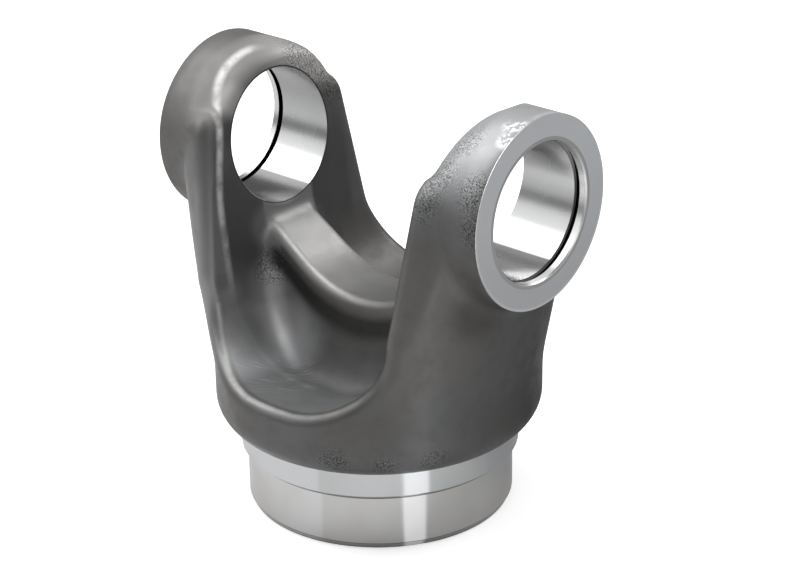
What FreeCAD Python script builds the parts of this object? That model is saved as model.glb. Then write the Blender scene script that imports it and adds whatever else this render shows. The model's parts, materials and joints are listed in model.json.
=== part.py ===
import FreeCAD, Part
import math
import os

V = FreeCAD.Vector

# Sizes in millimetres. Z runs up the shaft axis from the pilot's bottom face, X along the bearing bores.

# Bearing ears. CROSS_SPAN lies between the groove walls that the snap rings bear on.
BORE_R = 23.81
BORE_HEIGHT = 123.9
BORE_CHAMFER = 0.5
BOSS_R = 33.0
BOSS_BLEND_R = 8.0
CROSS_SPAN = 134.9
RING_GROOVE_WIDTH = 2.2
RING_GROOVE_DEPTH = 1.3
RING_LAND = 2.85
EAR_SPAN = CROSS_SPAN + 2 * (RING_GROOVE_WIDTH + RING_LAND)

# Pilot for the tube, and the land the weld runs on
PILOT_R = 47.45
PILOT_HEIGHT = 20.7
PILOT_CHAMFER_HEIGHT = 2.0
PILOT_CHAMFER_DEPTH = 1.0
LAND_R = 49.6
LAND_CHAMFER = 0.8

# Forged drum. Above it the outside leans out, to FLARE_TOP_R at the height of the bores.
DRUM_R = 58.0
DRUM_BOTTOM = 30.0
DRUM_CORNER_R = 11.0
FLARE_START = 49.0
FLARE_BEND_R = 60.0
FLARE_TOP_R = 70.4

# Side outline of the arms at their inner faces, seen along the bores. It narrows outwards.
SIDE_WAIST_HALF = 41.5
SIDE_WAIST_DROP = 35.9
SIDE_WAIST_HEIGHT = BORE_HEIGHT - SIDE_WAIST_DROP
SIDE_TOP_HALF = 36.5
SIDE_TOP_RISE = 6.6
SHOULDER_RISE = 15.6
SIDE_FOOT_R = 34.0
SIDE_DRAFT = 0.25
ARM_CORNER_R = 8.0

# Slanting crown of each ear, cut back towards the gap: a cone lying along the bores, set off from them
CROWN_R = 39.1
CROWN_Y = 4.1
CROWN_DROP = 11.7
CROWN_OUT = 2.4
CROWN_SLOPE = 0.5
CROWN_BITE = 0.8
CROWN_FOOT_R = 6.0

# Rib standing across the saddle, its crest sagging in the middle to RIB_CLEARANCE below the bores
RIB_HALF = 11.3
RIB_CLEARANCE = 22.6
RIB_SAG = BORE_HEIGHT - BORE_R - RIB_CLEARANCE
RIB_SAG_R = 45.4
RIB_SAG_HALF = 25.0
RIB_WALL = 6.5
RIB_DRAFT = 4.0
RIB_COVE_R = 26.0
RIB_EDGE_R = 3.0
RIB_FOOT_R = 7.0

# Saddle between the arms. Its lips lie below the rib's lowest point, the front one deeper.
INNER_HALF_GAP = 45.6
INNER_SLOPE = 0.125
FRONT_DEPTH = 24.7
FRONT_RIM = RIB_SAG - FRONT_DEPTH
FRONT_CORNER_R = 33.0
BACK_DEPTH = 16.0
BACK_RIM = RIB_SAG - BACK_DEPTH
BACK_CORNER_R = 36.0
SCOOP_FALL = 5.0
RIM_EDGE_R = 4.0

# Hollow underside
POCKET_R = 37.5
POCKET_TOP = 31.0
POCKET_DRAFT = 6.0
POCKET_CORNER = 9.0

# Clear of the part in every direction
REACH = 1.6 * DRUM_R
HIGH = BORE_HEIGHT + 1.7 * BOSS_R
TOUCH = 0.02


def line(a, b):
    return Part.LineSegment(a, b).toShape()


def face_of(edges):
    return Part.Face(Part.Wire(Part.__sortEdges__(edges)))


def polygon(points):
    return Part.Face(Part.makePolygon(points + points[:1]))


def turned(points):
    """A body turned about the Z axis from (radius, height) corners."""
    return polygon([V(r, 0, z) for r, z in points]).revolve(V(0, 0, 0), V(0, 0, 1), 360)


def bored(points):
    """A body turned about the bore axis from (radius, x) corners."""
    section = polygon([V(x, 0, BORE_HEIGHT + r) for r, x in points])
    return section.revolve(V(0, 0, BORE_HEIGHT), V(1, 0, 0), 360)


def inner_x(z):
    """Distance of the arms' leaning inner faces from the shaft axis."""
    return INNER_HALF_GAP + INNER_SLOPE * (z - BORE_HEIGHT)


def points_on(edge):
    """Five points along an edge, both ends among them."""
    first, last = edge.FirstParameter, edge.LastParameter
    return [edge.valueAt(first + (last - first) * i / 4) for i in range(5)]


def edges_where(shape, test):
    """Edges whose points all pass the test."""
    return [e for e in shape.Edges if all(test(p) for p in points_on(e))]


def flare_bend(t):
    """A point of the bend by which the drum's side turns into the leaning outside."""
    return V(DRUM_R + FLARE_BEND_R * (1 - math.cos(t)), 0, FLARE_START + FLARE_BEND_R * math.sin(t))


def flare_lean():
    """Angle at which a line from the bend reaches FLARE_TOP_R at the bores."""
    across = FLARE_BEND_R - (FLARE_TOP_R - DRUM_R)
    up = BORE_HEIGHT - FLARE_START
    return math.atan2(up, across) - math.acos(FLARE_BEND_R / math.hypot(across, up))


def flare_r(z):
    """Radius of the leaning outside above its bend."""
    end = flare_bend(flare_lean())
    return end.x + math.tan(flare_lean()) * (z - end.z)


def blank():
    """The drum and the leaning outside of both arms, as one turned body."""
    k = DRUM_CORNER_R * math.sqrt(0.5)
    hub = V(DRUM_R - DRUM_CORNER_R, 0, DRUM_BOTTOM + DRUM_CORNER_R)
    under, side = V(hub.x, 0, DRUM_BOTTOM), V(DRUM_R, 0, hub.z)
    lean = flare_lean()
    start, middle, end = flare_bend(0), flare_bend(lean / 2), flare_bend(lean)
    low, high, top = V(0, 0, DRUM_BOTTOM), V(0, 0, HIGH), V(flare_r(HIGH), 0, HIGH)
    return face_of([
        line(low, under), Part.Arc(under, V(hub.x + k, 0, hub.z - k), side).toShape(), line(side, start),
        Part.Arc(start, middle, end).toShape(), line(end, top), line(top, high),
        line(high, low)]).revolve(V(0, 0, 0), V(0, 0, 1), 360)


def side_quarter(sx, sy):
    """One side of one arm: swept foot, leaning side and round shoulder, narrowing outwards."""
    top_z, crown_z = BORE_HEIGHT + SIDE_TOP_RISE, BORE_HEIGHT + SHOULDER_RISE
    lean = math.atan2(SIDE_WAIST_HALF - SIDE_TOP_HALF, top_z - SIDE_WAIST_HEIGHT)
    shoulder_r = (crown_z - top_z) / (1 - math.sin(lean))
    widen = SIDE_DRAFT * INNER_HALF_GAP

    def at(y, z):
        return V(0, sy * (y + widen), z)

    def foot(t):
        return at(SIDE_WAIST_HALF + SIDE_FOOT_R * (math.cos(lean) - math.cos(lean + t)),
                  SIDE_WAIST_HEIGHT + SIDE_FOOT_R * (math.sin(lean) - math.sin(lean + t)))

    def shoulder(t):
        return at(SIDE_TOP_HALF + shoulder_r * (math.cos(t) - math.cos(lean)),
                  top_z + shoulder_r * (math.sin(t) - math.sin(lean)))

    sweep, quarter = math.pi / 3, math.pi / 2
    low, crown = foot(sweep), shoulder(quarter)
    base, core_low, core_high = V(0, low.y, 0), V(0, 0, 0), V(0, 0, crown.z)
    outline = face_of([
        line(base, low), Part.Arc(low, foot(sweep / 2), foot(0)).toShape(), line(foot(0), shoulder(lean)),
        Part.Arc(shoulder(lean), shoulder((lean + quarter) / 2), crown).toShape(), line(crown, core_high),
        line(core_high, core_low), line(core_low, base)])
    return outline.extrude(V(sx * REACH, -sy * SIDE_DRAFT * REACH, 0))


def side_body():
    quarters = [side_quarter(sx, sy) for sx in (-1, 1) for sy in (-1, 1)]
    return quarters[0].fuse(quarters[1:]).removeSplitter()


def arms_and_bosses():
    """Both arms with their outer corners rounded, and the bosses blended into them."""
    body = blank().common(side_body())

    def on_flare(p):
        return p.z > SIDE_WAIST_HEIGHT - TOUCH and abs(math.hypot(p.x, p.y) - flare_r(p.z)) < TOUCH

    corners = [e for e in edges_where(body, on_flare) if e.BoundBox.YMin * e.BoundBox.YMax > 0]
    body = body.makeFillet(ARM_CORNER_R, corners)
    body = body.fuse(Part.makeCylinder(BOSS_R, EAR_SPAN, V(-EAR_SPAN / 2, 0, BORE_HEIGHT), V(1, 0, 0)))

    def round_boss(p):
        on_skin = abs(math.hypot(p.y, p.z - BORE_HEIGHT) - BOSS_R) < TOUCH
        return on_skin and abs(p.x) < EAR_SPAN / 2 - RING_LAND and p.z < BORE_HEIGHT + 0.8 * BOSS_R

    return body.makeFillet(BOSS_BLEND_R, edges_where(body, round_boss))


def crown_r(x):
    return CROWN_R + CROWN_SLOPE * (abs(x) - INNER_HALF_GAP - CROWN_OUT)


def crowned(body):
    """The ears with their crowns cut back, and the foot of each cut rounded."""
    near, far = INNER_HALF_GAP - CROWN_FOOT_R, CROSS_SPAN / 2
    middle = V(0, CROWN_Y, BORE_HEIGHT - CROWN_DROP)
    floor = BORE_HEIGHT + SHOULDER_RISE - CROWN_BITE
    cuts = []
    for side in (-1, 1):
        start = middle + V(side * near, 0, 0)
        cone = Part.makeCone(crown_r(near), crown_r(far), far - near, start, V(side, 0, 0))
        corner = V(near if side > 0 else -far, -REACH, floor)
        cuts.append(Part.makeBox(far - near, 2 * REACH, HIGH - floor, corner).cut(cone))
    body = body.cut(cuts)

    def foot(p):
        on_cone = abs(math.hypot(p.y - middle.y, p.z - middle.z) - crown_r(p.x)) < TOUCH
        return on_cone and abs(p.z - floor) < TOUCH

    return body.makeFillet(CROWN_FOOT_R, edges_where(body, foot))


def sag_end():
    """Where the crest's sagging arc runs out into straight lines, and how steeply."""
    turn = math.asin(RIB_SAG_HALF / RIB_SAG_R)
    return V(RIB_SAG_HALF, -REACH, RIB_SAG + RIB_SAG_R * (1 - math.cos(turn))), math.tan(turn)


def crest_end():
    """Height at which the rib's crest meets the arms' inner faces."""
    end, slope = sag_end()
    return (end.z + slope * (inner_x(0) - end.x)) / (1 - slope * INNER_SLOPE)


def over_rib():
    """The gap between the arms above the rib's crest."""
    end, _ = sag_end()
    side, top = V(inner_x(crest_end()), -REACH, crest_end()), V(inner_x(HIGH), -REACH, HIGH)

    def left(p):
        return V(-p.x, p.y, p.z)

    outline = face_of([
        Part.Arc(left(end), V(0, -REACH, RIB_SAG), end).toShape(), line(end, side), line(side, top),
        line(top, left(top)), line(left(top), left(side)), line(left(side), left(end))])
    return outline.extrude(V(0, 2 * REACH, 0))


def scoop(side, rim, corner_r):
    """The hollow from one side wall of the rib out through the drum, its lip at height rim."""
    slope = SCOOP_FALL / (DRUM_R - RIB_HALF)
    draft = math.radians(RIB_DRAFT)
    wall_foot = RIB_SAG - RIB_WALL
    wall_y = RIB_HALF + math.tan(draft) * (crest_end() - wall_foot)

    def floor_z(y):
        return rim + slope * (y - DRUM_R)

    def cove(t):
        """The rib's upright wall turns out into the floor in one hollow sweep."""
        return (wall_y + RIB_COVE_R * (math.cos(draft) - math.cos(t)),
                wall_foot + RIB_COVE_R * (math.sin(draft) - math.sin(t)))

    # Halving the interval finds where the sweep runs into the sloping floor.
    near, far = draft, math.pi / 2
    for _ in range(40):
        turn = (near + far) / 2
        y, z = cove(turn)
        near, far = (turn, far) if z > floor_z(y) else (near, turn)

    def at(y, z):
        return V(-REACH, side * y, z)

    foot, middle = at(*cove(near)), at(*cove((draft + near) / 2))
    wall, crest = at(wall_y, wall_foot), at(RIB_HALF, crest_end())
    inner_top, outer_top, outer = at(RIB_HALF, HIGH), at(REACH, HIGH), at(REACH, floor_z(REACH))
    across = face_of([
        line(outer, foot), Part.Arc(foot, middle, wall).toShape(), line(wall, crest),
        line(crest, inner_top), line(inner_top, outer_top), line(outer_top, outer)]).extrude(V(2 * REACH, 0, 0))
    low, low_x, high_x = DRUM_BOTTOM, inner_x(DRUM_BOTTOM), inner_x(HIGH)
    between = polygon([V(-low_x, -REACH, low), V(low_x, -REACH, low), V(high_x, -REACH, HIGH),
                       V(-high_x, -REACH, HIGH)]).extrude(V(0, 2 * REACH, 0))
    hollow = across.common(between)

    def floor_side(edge):
        return edge.BoundBox.YLength > RIB_COVE_R and edge.BoundBox.ZMax < wall_foot

    return hollow.makeFillet(corner_r, [e for e in hollow.Edges if floor_side(e)])


def saddle():
    """Everything taken out between the arms: two scoops with the rib standing between them."""
    front, back = scoop(-1, FRONT_RIM, FRONT_CORNER_R), scoop(1, BACK_RIM, BACK_CORNER_R)
    hollow = over_rib().fuse([front, back]).removeSplitter()
    wall_foot = RIB_SAG - RIB_WALL
    wall_y = RIB_HALF + math.tan(math.radians(RIB_DRAFT)) * (crest_end() - wall_foot)

    def on_crest(edge):
        box = edge.BoundBox
        by_rib = max(abs(box.YMin), abs(box.YMax)) < wall_y and box.XLength > RIB_WALL
        return by_rib and box.ZMin > RIB_SAG - TOUCH and box.ZMax < crest_end() + TOUCH

    hollow = hollow.makeFillet(RIB_EDGE_R, [e for e in hollow.Edges if on_crest(e)])

    def at_foot(edge):
        """Where the rib's wall and its cove meet the arms and the floor, but not each other."""
        box = edge.BoundBox
        nearest, farthest = sorted((abs(box.YMin), abs(box.YMax)))
        along_wall = box.XMin < 0 < box.XMax and box.ZMax > wall_foot - TOUCH
        beside_rib = RIB_HALF - TOUCH < nearest and farthest < wall_y + RIB_COVE_R
        return beside_rib and box.ZMax < crest_end() and not along_wall

    return hollow.makeFillet(RIB_FOOT_R, [e for e in hollow.Edges if at_foot(e)])


def forging():
    """The as-forged skin, with its edge round the saddle eased."""
    solid, hollow = crowned(arms_and_bosses()), saddle()
    body, skin = solid.cut(hollow), solid.Shells[0]

    def rim(edge):
        first, length = edge.FirstParameter, edge.LastParameter - edge.FirstParameter
        points = [Part.Vertex(edge.valueAt(first + t * length)) for t in (0.1, 0.5, 0.9)]
        return all(hollow.distToShape(p)[0] < TOUCH and skin.distToShape(p)[0] < TOUCH for p in points)

    return body.makeFillet(RIM_EDGE_R, [e for e in body.Edges if rim(e)])


def pocket():
    """The drafted hollow forged into the underside, its top corner broken by a cone."""
    lean = math.tan(math.radians(POCKET_DRAFT))
    corner_z = POCKET_TOP - POCKET_CORNER
    return turned(((0, -1), (POCKET_R + lean, -1), (POCKET_R - lean * corner_z, corner_z),
                   (POCKET_R - lean * corner_z - POCKET_CORNER, POCKET_TOP), (0, POCKET_TOP)))


def pilot():
    """The turned seat for the tube with the weld land above it."""
    top = DRUM_BOTTOM + DRUM_CORNER_R
    return turned((
        (0, 0), (PILOT_R - PILOT_CHAMFER_DEPTH, 0), (PILOT_R, PILOT_CHAMFER_HEIGHT),
        (PILOT_R, PILOT_HEIGHT), (LAND_R - LAND_CHAMFER, PILOT_HEIGHT),
        (LAND_R, PILOT_HEIGHT + LAND_CHAMFER), (LAND_R, top), (0, top)))


def bearing_bore():
    """One cutter for both bores, with entry chamfers and the snap-ring grooves."""
    end, groove_r = EAR_SPAN / 2, BORE_R + RING_GROOVE_DEPTH
    inner, outer = CROSS_SPAN / 2, CROSS_SPAN / 2 + RING_GROOVE_WIDTH
    past = end + BORE_CHAMFER
    half = [(BORE_R, inner), (groove_r, inner), (groove_r, outer), (BORE_R, outer),
            (BORE_R, end - BORE_CHAMFER), (BORE_R + 2 * BORE_CHAMFER, past)]
    return bored([(0, -past)] + [(r, -x) for r, x in reversed(half)] + half + [(0, past)])


os.makedirs("parts", exist_ok=True)
yoke = forging().fuse(pilot()).cut([bearing_bore(), pocket()]).removeSplitter().Solids[0]
yoke.exportStep("parts/weld_yoke.step")
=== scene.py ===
import json
import math

import bpy
from mathutils import Matrix, Vector


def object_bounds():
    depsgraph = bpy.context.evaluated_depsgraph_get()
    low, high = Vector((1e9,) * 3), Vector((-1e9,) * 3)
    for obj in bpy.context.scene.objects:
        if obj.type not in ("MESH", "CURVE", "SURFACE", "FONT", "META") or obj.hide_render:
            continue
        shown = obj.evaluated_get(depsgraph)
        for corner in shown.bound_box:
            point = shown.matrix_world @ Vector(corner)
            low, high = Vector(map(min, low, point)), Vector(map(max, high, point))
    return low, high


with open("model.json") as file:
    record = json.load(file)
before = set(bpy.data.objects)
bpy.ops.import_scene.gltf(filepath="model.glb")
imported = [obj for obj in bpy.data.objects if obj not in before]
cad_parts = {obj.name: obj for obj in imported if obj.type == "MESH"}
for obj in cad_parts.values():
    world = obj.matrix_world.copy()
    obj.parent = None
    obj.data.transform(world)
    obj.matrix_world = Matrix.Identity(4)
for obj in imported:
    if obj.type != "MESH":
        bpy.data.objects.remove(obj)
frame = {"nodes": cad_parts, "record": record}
cad_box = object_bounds()

mounts = {mount["name"]: mount for mount in frame["record"]["mounts"]}
bores = mounts["cross_bores"]
seat = mounts["tube_seat"]

# Sizes of the yoke in metres. Z runs up the shaft axis from the pilot's bottom face, X along the bores.
BORE_HEIGHT = bores["pos_m"][2]
BORE_R = bores["dims"]["r_mm"] / 1000
PILOT_R = seat["dims"]["r_mm"] / 1000
PILOT_HEIGHT = seat["pos_m"][2] + seat["dims"]["length_mm"] / 2000
PILOT_CHAMFER = PILOT_HEIGHT - seat["dims"]["length_mm"] / 1000
EAR_REACH = float(cad_box[1][0])
BOSS_R = 0.0330
FACE_RIM = 0.0009
GROOVE_FROM = 0.06745
GROOVE_TO = 0.06965
GROOVE_R = 0.0255
LAND_R = 0.0496
LAND_TOP = 0.0312
POCKET_R = 0.0377
DRUM_WALL_R = 0.0545
LIP_R = 0.0556
RIB_HALF = 0.0113
CREST_LOW = 0.0775
CREST_R = 0.0454
CREST_ARC_HALF = 0.025
SLACK = 0.00015

# Spots on the skin, each a centre and a reach in metres.
PEBBLED = {
    "left ear's back shoulder": [
        ((-0.049, 0.014, 0.149), 0.011), ((-0.048, 0.022, 0.143), 0.013), ((-0.047, 0.030, 0.136), 0.012)],
    "right ear's front shoulder": [
        ((0.049, -0.035, 0.134), 0.012), ((0.053, -0.028, 0.142), 0.010)],
    "right boss": [
        ((0.056, -0.018, 0.150), 0.010), ((0.069, -0.029, 0.138), 0.010), ((0.072, -0.034, 0.128), 0.010)],
    "rib's left end": [
        ((-0.0385, -0.0140, 0.080), 0.010)],
    "drum's lower corner": [
        ((0.026, -0.0515, 0.0365), 0.009), ((0.040, -0.0415, 0.0360), 0.007),
        ((0.050, -0.0280, 0.0365), 0.008)],
}
# The spots below, except the scratched one, are painted glints, painted highlights and painted shade.
RIGHT_BOSS_GLINTS = [((0.0690, -0.0095, 0.1555), 0.0055), ((0.0712, -0.0160, 0.1528), 0.0050)]
LEFT_CROWN_FOOT_PAINTED_LIGHT = ((-0.048, -0.0205, 0.1415), 0.009)
LEFT_CROWN_FOOT_PAINTED_SHADE = ((-0.0466, -0.0234, 0.1310), 0.007)
RIB_END_PAINTED_LIGHT = ((-0.0405, -0.0116, 0.0940), 0.011)
COVE_PAINTED_LIGHTS = [((-0.037, -0.0155, 0.076), 0.012), ((-0.030, -0.0170, 0.063), 0.013)]
SCOOP_PAINTED_SHADE = ((-0.034, -0.035, 0.062), 0.016)
SCOOP_SCRATCHED = ((-0.014, -0.037, 0.052), 0.018)
UNDER_RIGHT_BOSS_PAINTED_SHADE = ((0.063, -0.019, 0.093), 0.016)

# The scratches run level, at this many degrees from X towards Y. Fineness is along and across them.
SCRATCH_HEADING = 42.1
SCRATCH_FINENESS = (110, 1900)

# Painted reflection bands round a bore's wall, from its top down. Each has the angles in radians, above the
# level of the axis, where it begins and where it is full.
WALL_MIDDLE = (0.40, -0.15)
WALL_WHITE = (-0.58, -0.84)
WALL_LOW = (-1.05, -1.11)
WALL_BOTTOM = (-1.20, -1.45)

# Lines on the floor from the pilot's foot, which bound the painted reflection that glossy rays see there:
# the angle round the pilot where each starts, and its heading.
# Both are in degrees from X towards Y.
PALE_SIDE = (-73.3, -98.8)
STRIP_LEFT = (-39.0, -30.2)
STRIP_RIGHT = (-27.7, -7.7)

# The camera looks at its aim from this distance, turned from -Y towards +X and raised by the tilt.
# Metres and degrees.
CAMERA_AIM = (0.0058, 0.00524, 0.07669)
CAMERA_DISTANCE = 0.81182
CAMERA_TURN = 42.096
CAMERA_TILT = 23.479
CAMERA_ROLL = -0.81
CAMERA_LENS_MM = 104.4
CAMERA_SENSOR_MM = 36.0

# Softboxes: place, height aimed at on the shaft axis, width and height in metres, and watts.
LAMPS = {
    "key": ((-1.05, -0.15, 1.45), 0.08, (1.5, 1.5), 16),
    "front_left": ((-1.15, -0.85, 0.95), 0.08, (1.6, 1.1), 7.5),
    "fill": ((1.3, -0.5, 1.0), 0.08, (0.5, 1.4), 3.5),
    "back_right": ((0.5, 1.3, 1.2), 0.10, (0.9, 0.8), 9),
    "top": ((0.2, -0.1, 1.9), 0.08, (1.3, 1.3), 13),
}
FLOOR_SIZE = 8.0


def grey(value, warm=0.0):
    """A grey of this value, redder where warm is above zero and bluer where it is below."""
    return (value * (1 + warm), value, value * (1 - warm), 1)


class Nodes:
    """Short calls for building the node tree of a material or a world."""

    def __init__(self, owner):
        owner.use_nodes = True
        self.owner = owner
        self.tree = owner.node_tree
        self.tree.nodes.clear()

    def add(self, kind, inputs=None, **settings):
        node = self.tree.nodes.new(kind)
        for key, value in settings.items():
            setattr(node, key, value)
        for key, value in (inputs or {}).items():
            self.put(node.inputs[key], value)
        return node

    def put(self, socket, value):
        if isinstance(value, bpy.types.NodeSocket):
            self.tree.links.new(value, socket)
        else:
            socket.default_value = value

    def math(self, kind, a, b=0.0):
        return self.add("ShaderNodeMath", {0: a, 1: b}, operation=kind).outputs[0]

    def vector(self, x, y):
        return self.add("ShaderNodeCombineXYZ", {0: x, 1: y, 2: 0.0}).outputs[0]

    def radius(self, a, b):
        return self.add("ShaderNodeVectorMath", {0: self.vector(a, b)}, operation="LENGTH").outputs["Value"]

    def below(self, value, limit):
        return self.math("LESS_THAN", value, limit)

    def above(self, value, limit):
        return self.math("GREATER_THAN", value, limit)

    def between(self, value, low, high):
        return self.all_of(self.above(value, low), self.below(value, high))

    def all_of(self, *masks):
        return self.in_turn("MULTIPLY", masks)

    def any_of(self, *masks):
        return self.in_turn("MAXIMUM", masks)

    def in_turn(self, kind, masks):
        result = masks[0]
        for mask in masks[1:]:
            result = self.math(kind, result, mask)
        return result

    def scaled(self, value, factor):
        return self.math("MULTIPLY", value, factor)

    def ramp(self, value, low, high, start=0.0, end=1.0):
        """A smooth step from start at low to end at high. Low may be the greater of the two."""
        return self.add("ShaderNodeMapRange", {
            "Value": value, "From Min": low, "From Max": high, "To Min": start, "To Max": end},
            interpolation_type="SMOOTHSTEP").outputs["Result"]

    def line(self, value, centre, core, edge):
        """1 where value is within core of centre, fading to 0 at edge."""
        off = self.math("ABSOLUTE", self.math("SUBTRACT", value, centre))
        return self.ramp(off, edge, core)

    def noise(self, where, scale, detail=2.0, rough=0.5):
        return self.add("ShaderNodeTexNoise", {
            "Vector": where, "Scale": scale, "Detail": detail, "Roughness": rough}).outputs["Fac"]

    def mix(self, fac, a, b, blend="MIX"):
        node = self.add("ShaderNodeMix", data_type="RGBA", blend_type=blend)
        self.put(node.inputs["Factor"], fac)
        self.put(node.inputs[6], a)
        self.put(node.inputs[7], b)
        return node.outputs[2]

    def paint(self, base, mask, strength, tone):
        """The base with a tone over it where the mask is, as strong as strength at most."""
        return self.mix(self.scaled(mask, strength), base, tone)

    def bump(self, height, distance, strength, normal=None):
        node = self.add("ShaderNodeBump", {"Height": height, "Distance": distance, "Strength": strength})
        if normal is not None:
            self.put(node.inputs["Normal"], normal)
        return node.outputs["Normal"]


class Places:
    """Where on the yoke a point lies, as distances and as masks that the finishes share."""

    def __init__(self, n):
        self.n = n
        self.where = n.add("ShaderNodeTexCoord").outputs["Object"]
        self.x, self.y, self.z = n.add("ShaderNodeSeparateXYZ", {0: self.where}).outputs
        self.out = n.math("ABSOLUTE", self.x)
        self.across = n.math("ABSOLUTE", self.y)
        self.left = n.below(self.x, 0.0)
        self.right = n.above(self.x, 0.0)
        self.shaft_r = n.radius(self.x, self.y)
        self.over_bore = n.math("SUBTRACT", self.z, BORE_HEIGHT)
        self.bore_r = n.radius(self.y, self.over_bore)
        self.find_machined()
        self.find_forged()

    def find_machined(self):
        """The turned pilot and land, the bores with their grooves, and the ears' outer faces."""
        n = self.n
        self.turned = n.all_of(n.below(self.z, LAND_TOP), n.between(self.shaft_r, POCKET_R, LAND_R + SLACK))
        wall = n.below(self.bore_r, BORE_R + SLACK)
        past_groove = n.all_of(n.below(self.bore_r, GROOVE_R), n.above(self.out, GROOVE_FROM))
        self.bored = n.any_of(wall, past_groove)
        self.grooved = n.all_of(n.between(self.bore_r, BORE_R + SLACK, GROOVE_R),
                                n.between(self.out, GROOVE_FROM - SLACK, GROOVE_TO + SLACK))
        self.faced = n.above(self.out, EAR_REACH - SLACK)
        self.machined = n.any_of(self.turned, self.bored, self.faced)

    def find_forged(self):
        """The bosses, the band under the rib's crest, the front scoop, and the drum's and arms' outside."""
        n = self.n
        self.boss = n.all_of(n.below(self.bore_r, BOSS_R + 0.0012), n.ramp(self.out, 0.046, 0.052))
        self.depth = self.under_crest()
        self.rib_shadow = n.all_of(
            n.ramp(self.across, RIB_HALF - 0.0008, RIB_HALF + 0.0012), n.below(self.across, 0.024),
            n.ramp(self.depth, 0.0040, 0.0080), n.ramp(self.depth, 0.0160, 0.0105),
            n.ramp(self.out, 0.041, 0.036))
        self.scoop = n.all_of(
            n.ramp(self.shaft_r, DRUM_WALL_R, 0.052), n.ramp(self.y, -RIB_HALF, -RIB_HALF - 0.003),
            n.ramp(self.depth, 0.006, 0.022), n.above(self.z, LAND_TOP), n.ramp(self.z, 0.090, 0.074))
        self.outside = n.above(self.shaft_r, DRUM_WALL_R)

    def under_crest(self):
        """Depth below the rib's crest, which is an arc in the middle and runs straight on to the arms."""
        n = self.n
        on_arc = n.math("MINIMUM", self.out, CREST_ARC_HALF)
        drop = n.math("SQRT", n.math("SUBTRACT", CREST_R ** 2, n.math("MULTIPLY", on_arc, on_arc)))
        rise = n.math("SUBTRACT", CREST_R, drop)
        slope = math.tan(math.asin(CREST_ARC_HALF / CREST_R))
        past_arc = n.scaled(n.math("SUBTRACT", self.out, on_arc), slope)
        crest = n.math("ADD", n.math("ADD", rise, past_arc), CREST_LOW)
        return n.math("SUBTRACT", crest, self.z)

    def near(self, spot):
        """1 in the middle of a spot, fading to 0 at its reach."""
        centre, reach = spot
        away = self.n.add("ShaderNodeVectorMath", {0: self.where, 1: centre}, operation="DISTANCE")
        return self.n.ramp(away.outputs["Value"], reach * 0.3, reach, 1.0, 0.0)

    def near_any(self, spots):
        return self.n.any_of(*[self.near(spot) for spot in spots])


def scale_tone(n, at, broad, mottle):
    """The blasted scale's own colour, which drifts between warm and cool and is mottled."""
    warm, cool = grey(0.112, 0.045), grey(0.122, -0.02)
    light, dark = grey(0.155, 0.02), grey(0.085, 0.03)
    skin = n.mix(n.ramp(n.noise(at.where, 17), 0.38, 0.62), warm, cool)
    skin = n.mix(n.ramp(broad, 0.3, 0.7, 0.0, 0.5), skin, light)
    return n.mix(n.ramp(mottle, 0.45, 0.8, 0.0, 0.3), skin, dark)


def right_ear_painted_light(n, at, skin):
    """Painted light on the right ear: a light silver painted over its top, and small white painted glints
    on the boss.
    """
    top = n.all_of(at.right, n.ramp(at.z, 0.124, 0.144), n.ramp(at.out, 0.044, 0.050))
    painted_top_light = n.mix(n.ramp(at.y, -0.034, -0.018), grey(0.30, -0.015), grey(0.52, -0.015))
    skin = n.paint(skin, top, 0.85, painted_top_light)
    broken = n.ramp(n.noise(at.where, 420, 3, 0.6), 0.46, 0.54)
    return n.mix(n.all_of(at.near_any(RIGHT_BOSS_GLINTS), broken), skin, grey(0.95))


def left_ear_painted_light(n, at, skin):
    """Painted light on the left ear: a brow painted lighter towards the back, a boss painted lighter on
    top, and a painted highlight and a painted shade spot at the crown's foot.
    """
    brow = n.all_of(at.left, n.ramp(at.z, 0.132, 0.143), n.ramp(at.out, 0.064, 0.057))
    brow_painted_light = n.mix(n.ramp(at.y, -0.010, 0.012), grey(0.26, 0.02), grey(0.58, 0.02))
    skin = n.paint(skin, brow, 0.85, brow_painted_light)
    boss_top = n.all_of(at.left, at.boss, n.ramp(at.z, 0.122, 0.140))
    skin = n.paint(skin, boss_top, 0.35, grey(0.27, 0.03))
    skin = n.paint(skin, at.near(LEFT_CROWN_FOOT_PAINTED_LIGHT), 0.6, grey(0.50, 0.02))
    return n.paint(skin, at.near(LEFT_CROWN_FOOT_PAINTED_SHADE), 0.6, grey(0.07))


def painted_edge_highlights(n, at, skin, mottle):
    """Painted highlights: light lines round the left brow, down the left arm's front edge and along the
    front lip, and a side of the left arm painted lighter."""
    brow_r = n.ramp(at.z, 0.134, 0.150, 0.0297, 0.0306)
    round_brow = n.all_of(n.line(at.bore_r, brow_r, 0.0001, 0.0011),
                          n.ramp(at.z, 0.134, 0.138), n.ramp(at.y, 0.004, -0.006))
    arm_edge_y = n.ramp(at.z, 0.104, 0.140, -0.0325, -0.0277)
    down_arm = n.all_of(n.line(at.y, arm_edge_y, 0.0003, 0.0024),
                        n.ramp(at.z, 0.140, 0.135), n.ramp(at.z, 0.070, 0.115, 0.5, 1.0))
    # Painted highlight round the left brow and down the left arm's front edge.
    on_ear = n.all_of(at.left, n.below(at.out, 0.060), n.any_of(n.scaled(round_brow, 0.8), down_arm),
                      n.ramp(mottle, 0.35, 0.60, 0.45, 1.0))
    skin = n.paint(skin, on_ear, 0.90, grey(0.88, 0.005))

    lip_highlight = n.all_of(n.line(at.shaft_r, LIP_R, 0.0003, 0.0015),
                      n.below(at.y, -0.038), n.below(at.z, 0.074), n.ramp(at.x, 0.022, -0.006),
                      n.ramp(mottle, 0.35, 0.60, 0.40, 1.0))
    skin = n.paint(skin, lip_highlight, 0.50, grey(0.50, 0.005))

    arm_side_light = n.all_of(at.left, n.ramp(at.y, -0.031, -0.035),
                        n.ramp(at.z, 0.140, 0.066), n.ramp(at.z, 0.050, 0.062))
    return n.paint(skin, arm_side_light, 0.65, grey(0.36))


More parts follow.
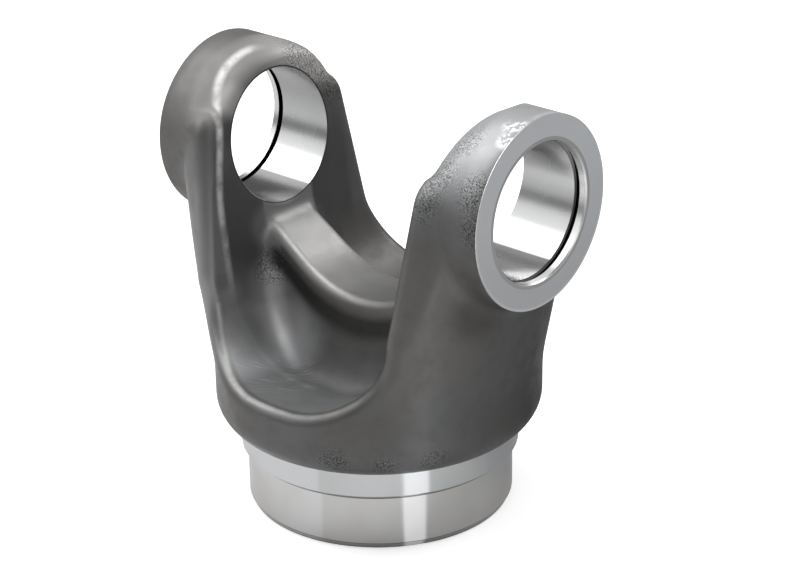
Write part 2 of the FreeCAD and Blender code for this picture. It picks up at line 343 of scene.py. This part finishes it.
def saddle_painted_light_and_scratches(n, at, skin):
    """Painted light and shade on the saddle: the rib's crest painted light, the dark band under it painted
    shadow, and a scoop painted lighter on the left and in front, with painted light and shade spots; then
    the scoop's scratches.
    """
    crest = n.all_of(n.ramp(at.depth, 0.0045, 0.0020), n.ramp(at.across, RIB_HALF + 0.002, RIB_HALF),
                     n.ramp(at.out, 0.046, 0.042))
    crest_painted_light = n.mix(n.ramp(at.x, 0.016, -0.020), grey(0.22, 0.01), grey(0.46, 0.01))
    skin = n.paint(skin, crest, 0.75, crest_painted_light)
    skin = n.paint(skin, at.near(RIB_END_PAINTED_LIGHT), 0.5, grey(0.42, 0.01))

    on_left = n.all_of(n.ramp(at.x, -0.006, -0.024), n.ramp(at.x, -0.0395, -0.036, 0.42, 1.0))
    in_front = n.scaled(n.ramp(at.across, 0.020, 0.032), 0.65)
    scoop_painted_light = n.mix(n.any_of(on_left, in_front), grey(0.055, -0.01), grey(0.35, -0.02))
    skin = n.paint(skin, at.scoop, 0.8, scoop_painted_light)
    skin = n.paint(skin, at.near_any(COVE_PAINTED_LIGHTS), 0.4, grey(0.50, 0.015))
    skin = n.paint(skin, at.near(SCOOP_PAINTED_SHADE), 0.6, grey(0.09))
    skin = n.paint(skin, at.rib_shadow, n.ramp(at.x, -0.004, -0.024, 0.78, 0.93), grey(0.028, 0.02))
    return n.paint(skin, scratches(n, at), 0.55, grey(0.62, -0.02))


def scratches(n, at):
    """Fine straight scratches in the scoop, from a noise that is stretched along them."""
    turn = math.radians(SCRATCH_HEADING)
    fine_along, fine_across = SCRATCH_FINENESS
    along = n.math("ADD", n.scaled(at.x, math.cos(turn)), n.scaled(at.y, math.sin(turn)))
    across = n.math("SUBTRACT", n.scaled(at.y, math.cos(turn)), n.scaled(at.x, math.sin(turn)))
    streaks = n.noise(n.vector(n.scaled(along, fine_along), n.scaled(across, fine_across)), 1.0)
    return n.all_of(n.ramp(streaks, 0.58, 0.68), at.near(SCOOP_SCRATCHED))


def body_painted_shade(n, at, skin):
    """Painted shade, as darker tones: the arms' inner faces, the drum, a spot under the right boss, the
    right side towards the back, and the bores' inner rims."""
    inner_face = n.all_of(n.below(at.out, 0.0470), n.ramp(at.out, 0.034, 0.040), n.ramp(at.z, 0.080, 0.092),
                          n.ramp(at.z, 0.134, 0.112), n.ramp(at.across, 0.034, 0.030))
    skin = n.paint(skin, inner_face, 0.38, grey(0.038, 0.01))
    drum = n.all_of(at.outside, n.ramp(at.z, 0.064, 0.050))
    skin = n.paint(skin, drum, 0.18, grey(0.07))
    skin = n.paint(skin, at.near(UNDER_RIGHT_BOSS_PAINTED_SHADE), 0.5, grey(0.04))
    right_side = n.all_of(at.outside, n.ramp(at.x, 0.015, 0.050), n.ramp(at.y, -0.006, 0.022),
                          n.ramp(at.z, 0.110, 0.090))
    skin = n.paint(skin, right_side, 0.9, grey(0.03))
    bore_rim = n.all_of(n.below(at.bore_r, BORE_R + 0.0006), n.below(at.out, 0.060))
    return n.paint(skin, bore_rim, 0.8, grey(0.02))


def speckled(n, at, skin, pebbled):
    """Light specks and dark pits on the pebbled patches."""
    grain = n.noise(at.where, 1750, 2, 0.6)
    skin = n.mix(n.all_of(n.ramp(grain, 0.54, 0.64), pebbled), skin, grey(1.5), "MULTIPLY")
    return n.mix(n.all_of(n.ramp(grain, 0.49, 0.40), pebbled), skin, grey(0.35), "MULTIPLY")


def skin_relief(n, at, broad, mottle, pebbled):
    """Edges rounded in the shading, most on the ears, under the unevenness and pebbles of the skin."""
    on_ear = n.all_of(n.ramp(at.z, 0.108, 0.122), n.ramp(at.bore_r, BORE_R + 0.001, BORE_R + 0.005))
    rounding = n.ramp(on_ear, 0.0, 1.0, 0.0028, 0.0090)
    normal = n.add("ShaderNodeBevel", {"Radius": rounding}, samples=8).outputs["Normal"]
    normal = n.bump(broad, distance=0.0012, strength=0.35, normal=normal)
    normal = n.bump(mottle, distance=0.00022, strength=0.25, normal=normal)
    pebbles = n.math("MULTIPLY", n.noise(at.where, 1300), n.math("ADD", pebbled, 0.07))
    return n.bump(pebbles, distance=0.00022, strength=0.9, normal=normal)


def forged_skin(n, at):
    """Shot-blasted scale: dark warm grey with a satin sheen, pebbled in places, with painted light and
    shade over it.
    """
    broad = n.noise(at.where, 24)
    mottle = n.noise(at.where, 150, 4, 0.6)
    pebbled = at.near_any([spot for spots in PEBBLED.values() for spot in spots])

    skin = scale_tone(n, at, broad, mottle)
    skin = right_ear_painted_light(n, at, skin)
    skin = left_ear_painted_light(n, at, skin)
    skin = painted_edge_highlights(n, at, skin, mottle)
    skin = saddle_painted_light_and_scratches(n, at, skin)
    skin = body_painted_shade(n, at, skin)
    skin = speckled(n, at, skin, pebbled)

    rough = n.math("ADD", n.ramp(mottle, 0.3, 0.7, 0.36, 0.46), n.scaled(at.rib_shadow, 0.25))
    rough = n.math("ADD", rough, n.scaled(n.any_of(at.boss, at.scoop), 0.14))
    return n.add("ShaderNodeBsdfPrincipled", {
        "Base Color": skin, "Metallic": 0.7, "Roughness": rough,
        "Normal": skin_relief(n, at, broad, mottle, pebbled)}).outputs[0]


def turned_tone(n, at, wash):
    """Bright steel that drifts a little, and one even tone on the weld land."""
    pilot = n.mix(n.ramp(wash, 0.3, 0.7), grey(0.62, 0.012), grey(0.69, -0.004))
    on_land = n.all_of(at.turned, n.above(at.z, PILOT_HEIGHT))
    return n.mix(on_land, pilot, grey(0.66, -0.02))


def ear_face_painted_light(n, at):
    """The ears' outer faces with painted light: lighter upwards, a painted highlight at the rim, and a
    darker, shaded copy on the left ear.
    """
    low = n.mix(at.right, grey(0.46, -0.022), grey(0.80, -0.022))
    high = n.mix(at.right, grey(0.56, -0.022), grey(0.96, -0.022))
    face = n.mix(n.ramp(at.z, 0.095, 0.150), low, high)
    return n.mix(n.above(at.bore_r, BOSS_R - FACE_RIM), face, grey(0.95))


def bore_painted_reflections(n, at):
    """The bores' walls in painted reflection bands: plain above, white below the middle and dark low down,
    with different bands in each bore.
    """
    angle = n.math("ARCTAN2", at.over_bore, at.across)
    upper = n.mix(at.right, grey(0.33, -0.004), grey(0.85, -0.004))
    wall = n.mix(n.ramp(angle, *WALL_MIDDLE), upper, grey(0.46, -0.006))
    wall = n.mix(n.ramp(angle, *WALL_WHITE), wall, grey(0.97))
    low = n.mix(at.right, grey(0.20), grey(0.11))
    bottom = n.mix(at.right, grey(0.22), grey(0.75))
    wall = n.mix(n.ramp(angle, *WALL_LOW), wall, n.mix(n.ramp(angle, *WALL_BOTTOM), low, bottom))
    return n.mix(n.above(at.out, GROOVE_TO), wall, grey(0.60))


def painted_shade_lines(n, at, tone):
    """Painted shade: the thin shade under the pilot's step, its darker chamfer and the chamfer's edge, and
    the black grooves.
    """
    step = n.all_of(at.turned, n.between(at.z, PILOT_HEIGHT - 0.0012, PILOT_HEIGHT + 0.0001))
    tone = n.paint(tone, step, 0.75, grey(0.06))
    chamfer = n.all_of(at.turned, n.below(at.z, PILOT_CHAMFER + 0.0001))
    tone = n.paint(tone, chamfer, 0.45, grey(0.30, 0.02))
    edge = n.all_of(at.turned, n.between(at.z, PILOT_CHAMFER - 0.0002, PILOT_CHAMFER + 0.0002))
    tone = n.paint(tone, edge, 0.5, grey(0.12))
    return n.mix(at.grooved, tone, grey(0.008))


def tool_rings(n, at):
    """Fine rings left by the tool: along the axis on round surfaces, round the bore on the faces."""
    on_round = n.all_of(n.any_of(at.turned, at.bored), n.math("ADD", at.z, at.out))
    on_face = n.all_of(at.faced, at.bore_r)
    return n.noise(n.vector(on_round, on_face), 5200, 2, 0.6)


def cut_metal(n, at):
    """Turned, bored and faced steel, with painted reflections in the bores, painted light on the faces and
    painted shade in the lines and grooves.
    """
    wash = n.noise(at.where, 45)
    tone = n.mix(at.faced, turned_tone(n, at, wash), ear_face_painted_light(n, at))
    tone = n.mix(at.bored, tone, bore_painted_reflections(n, at))
    tone = painted_shade_lines(n, at, tone)
    rough = n.math("ADD", n.ramp(wash, 0.3, 0.7, 0.10, 0.15), n.scaled(at.faced, 0.26))
    rough = n.math("ADD", rough, n.scaled(at.bored, 0.14))
    return n.add("ShaderNodeBsdfPrincipled", {
        "Base Color": tone, "Metallic": 1.0, "Roughness": rough,
        "Normal": n.bump(tool_rings(n, at), distance=0.00002, strength=0.2)}).outputs[0]


def steel():
    """Forged skin everywhere but on the machined surfaces, told apart by where they are."""
    n = Nodes(bpy.data.materials.new("forged_steel"))
    at = Places(n)
    blend = n.add("ShaderNodeMixShader", {0: at.machined, 1: forged_skin(n, at), 2: cut_metal(n, at)})
    n.add("ShaderNodeOutputMaterial", {"Surface": blend.outputs[0]})
    return n.owner


def floor_material():
    """Pale floor that keeps the part's shadow. Glossy rays see a painted reflection on it: a bright strip,
    which also glows, and a darker right side.
    """
    n = Nodes(bpy.data.materials.new("floor"))
    path = n.add("ShaderNodeLightPath")
    where = n.add("ShaderNodeTexCoord").outputs["Object"]
    x, y, _ = n.add("ShaderNodeSeparateXYZ", {0: where}).outputs

    def past(line):
        """Distance to the left of a line's heading, which is to its right as the camera sees it."""
        foot, heading = (math.radians(angle) for angle in line)
        from_x = n.math("SUBTRACT", x, PILOT_R * math.cos(foot))
        from_y = n.math("SUBTRACT", y, PILOT_R * math.sin(foot))
        return n.math("SUBTRACT", n.scaled(from_y, math.cos(heading)), n.scaled(from_x, math.sin(heading)))

    painted_reflection_strip = n.all_of(n.ramp(past(STRIP_LEFT), 0.0, 0.002), n.ramp(past(STRIP_RIGHT), 0.0, -0.002))
    painted_reflection_sides = n.mix(n.ramp(past(PALE_SIDE), -0.001, 0.001), grey(0.78), grey(0.66, 0.01))
    painted_reflection_sides = n.mix(n.ramp(past(STRIP_RIGHT), 0.030, 0.100), painted_reflection_sides, grey(0.32, -0.01))
    painted_reflection = n.mix(painted_reflection_strip, painted_reflection_sides, grey(0.95))
    tone = n.mix(path.outputs["Is Glossy Ray"], grey(0.92), painted_reflection)
    body = n.add("ShaderNodeBsdfDiffuse", {"Color": tone})
    to_camera = n.scaled(path.outputs["Is Camera Ray"], 0.45)
    strip_glow = n.scaled(n.all_of(path.outputs["Is Glossy Ray"], painted_reflection_strip), 0.30)
    lift = n.add("ShaderNodeEmission", {
        "Color": grey(1.0), "Strength": n.math("ADD", to_camera, strip_glow)})
    surface = n.add("ShaderNodeAddShader", {0: body.outputs[0], 1: lift.outputs[0]})
    n.add("ShaderNodeOutputMaterial", {"Surface": surface.outputs[0]})
    return n.owner


def studio_world():
    """White behind the part for the camera, and a dim even grey for all other rays."""
    n = Nodes(bpy.data.worlds.new("studio"))
    path = n.add("ShaderNodeLightPath")
    tone = n.mix(path.outputs["Is Camera Ray"], grey(0.26), grey(1.0))
    background = n.add("ShaderNodeBackground", {"Color": tone, "Strength": 1.0})
    n.add("ShaderNodeOutputWorld", {"Surface": background.outputs[0]})
    return n.owner


def looking(place, target, roll=0.0):
    """A transform at place whose -Z points at target and whose X lies level before the roll."""
    back = (Vector(place) - Vector(target)).normalized()
    right = Vector((0, 0, 1)).cross(back).normalized()
    up = back.cross(right)
    turn = Matrix((right, up, back)).transposed().to_4x4()
    return Matrix.Translation(place) @ turn @ Matrix.Rotation(roll, 4, "Z")


def add_to_scene(name, data, transform):
    thing = bpy.data.objects.new(name, data)
    thing.matrix_world = transform
    bpy.context.scene.collection.objects.link(thing)
    return thing


def softbox(name, place, aim_height, size, watts):
    data = bpy.data.lights.new(name, "AREA")
    data.shape = "RECTANGLE"
    data.size, data.size_y = size
    data.energy = watts
    add_to_scene(name, data, looking(place, (0, 0, aim_height)))


def camera():
    data = bpy.data.cameras.new("camera")
    data.sensor_width = CAMERA_SENSOR_MM
    data.sensor_fit = "HORIZONTAL"
    data.lens = CAMERA_LENS_MM
    data.clip_start, data.clip_end = 0.01, 100.0
    turn, tilt = math.radians(CAMERA_TURN), math.radians(CAMERA_TILT)
    back = Vector((math.sin(turn) * math.cos(tilt), -math.cos(turn) * math.cos(tilt), math.sin(tilt)))
    aim = Vector(CAMERA_AIM)
    transform = looking(aim + back * CAMERA_DISTANCE, aim, math.radians(CAMERA_ROLL))
    return add_to_scene("camera", data, transform)


finish = steel()
for slot in frame["nodes"]["weld_yoke"].material_slots:
    slot.material = finish

bpy.ops.mesh.primitive_plane_add(size=FLOOR_SIZE, location=(0, 0, 0))
floor = bpy.context.object
floor.name = "floor"
floor.data.materials.append(floor_material())

bpy.context.scene.world = studio_world()
for lamp_name, lamp in LAMPS.items():
    softbox(lamp_name, *lamp)
bpy.context.scene.camera = camera()
bpy.context.scene.view_settings.view_transform = "Standard"
